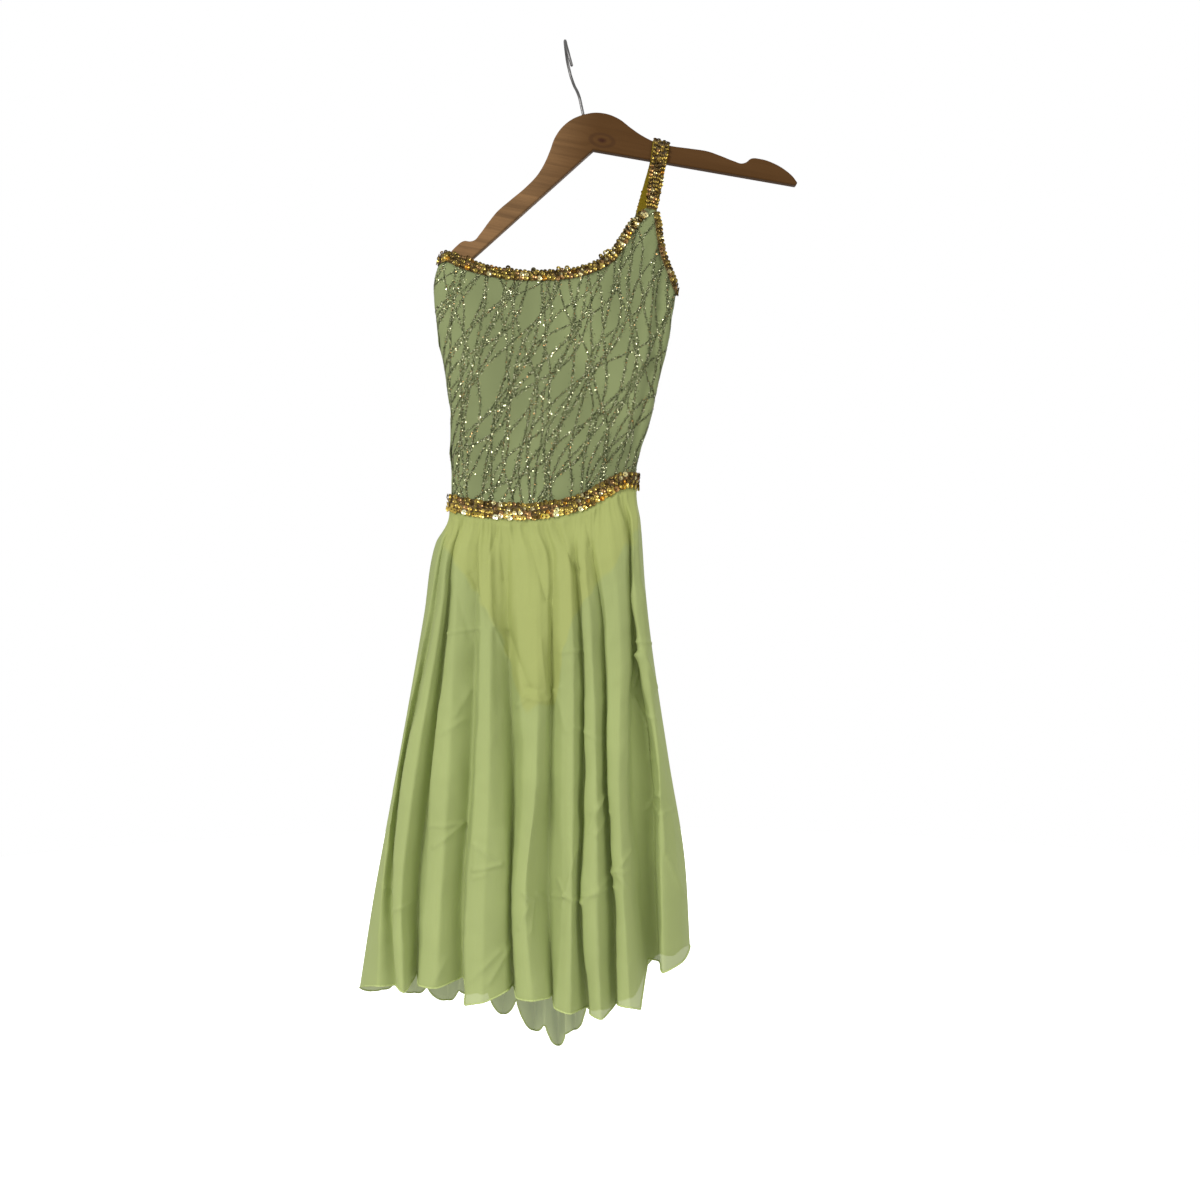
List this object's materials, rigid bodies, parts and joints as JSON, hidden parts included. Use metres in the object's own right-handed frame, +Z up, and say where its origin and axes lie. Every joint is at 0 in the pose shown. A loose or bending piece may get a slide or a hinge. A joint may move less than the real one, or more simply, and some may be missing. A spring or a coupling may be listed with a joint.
{
  "type": "one-shoulder dance dress on a wooden coat hanger",
  "caption": "One-shoulder stage dress with a glitter bodice, sequin trims and a sheer gathered skirt, hanging rolled to one side on a flat wooden coat hanger.",
  "frame": {"origin": "inner top of the hanger's hook, where it rests on a rail", "axes": "+Z up; -Y to the dress's front; +X to the viewer's right, along the rail's normal plane; the hook's bow lies across the hanger, in the plane of Y"},
  "size_m": [0.5222, 0.201, 1.2365],
  "materials": {
    "hanger_wood": "satin, pale varnished wood with fine long grain",
    "hook_metal": "bright drawn wire",
    "bodice_fabric": "matt sage stretch knit with crossing lines of dark and gold glitter",
    "brief_fabric": "matt yellowish lime stretch knit",
    "sequin_trim": "pale gold and bronze cupped sequins on a braid, glossy",
    "strap_lining": "matt yellow elastic",
    "chiffon": "sheer crepe chiffon, soft sheen"
  },
  "bodies": {
    "root": {"hanger_wood": "hanger_wood", "hanger_hook": "hook_metal", "bodice_front": "bodice_fabric", "bodice_back": "bodice_fabric", "brief_front": "brief_fabric", "brief_back": "brief_fabric", "neck_trim": "sequin_trim", "armhole_trim": "sequin_trim", "waist_trim": "sequin_trim", "strap_lining": "strap_lining", "strap_sequins": "sequin_trim", "skirt_front": "chiffon", "skirt_back": "chiffon"}
  },
  "joints": []
}
